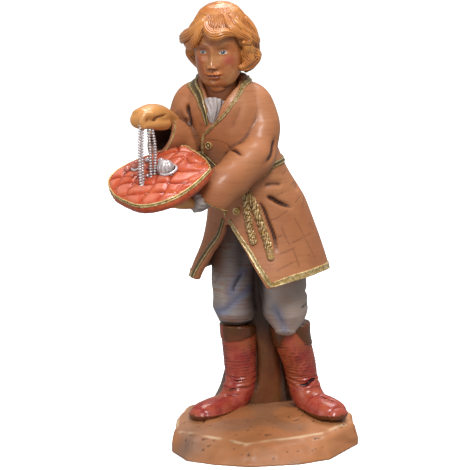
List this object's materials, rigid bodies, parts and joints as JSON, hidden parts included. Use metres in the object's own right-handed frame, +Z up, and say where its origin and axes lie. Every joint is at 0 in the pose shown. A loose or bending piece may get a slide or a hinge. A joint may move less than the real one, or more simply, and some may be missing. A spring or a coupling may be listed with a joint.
{
  "type": "street vendor figurine",
  "caption": "Painted figurine of a young vendor in a long coat and red boots who lifts strings of beads from a tufted cushion, on a rocky base with a stump.",
  "frame": {"origin": "middle of the base's flat underside", "axes": "+Z up along the figure, -Y towards the side that the figure faces, +X to that viewer's right"},
  "size_m": [0.0638, 0.0589, 0.1167],
  "materials": {
    "painted_resin": "cast resin painted by hand, with a brown wash in the hollows",
    "coat_paint": "satin tan paint, brown wash in the folds",
    "gold_paint": "old gold paint, worn over dark olive",
    "trouser_paint": "grey-blue paint brushed over brown",
    "boot_paint": "brick red varnished paint, brown cuffs",
    "skin_paint": "warm skin tint with a satin varnish",
    "hair_paint": "ginger paint, brown wash between the locks",
    "shirt_paint": "grey-white paint",
    "cushion_paint": "coral red paint, pale on the raised parts",
    "silver_paint": "silver paint",
    "ground_paint": "clay brown paint with a grey wash"
  },
  "bodies": {
    "root": {"vendor_figurine": "painted_resin"}
  },
  "joints": []
}
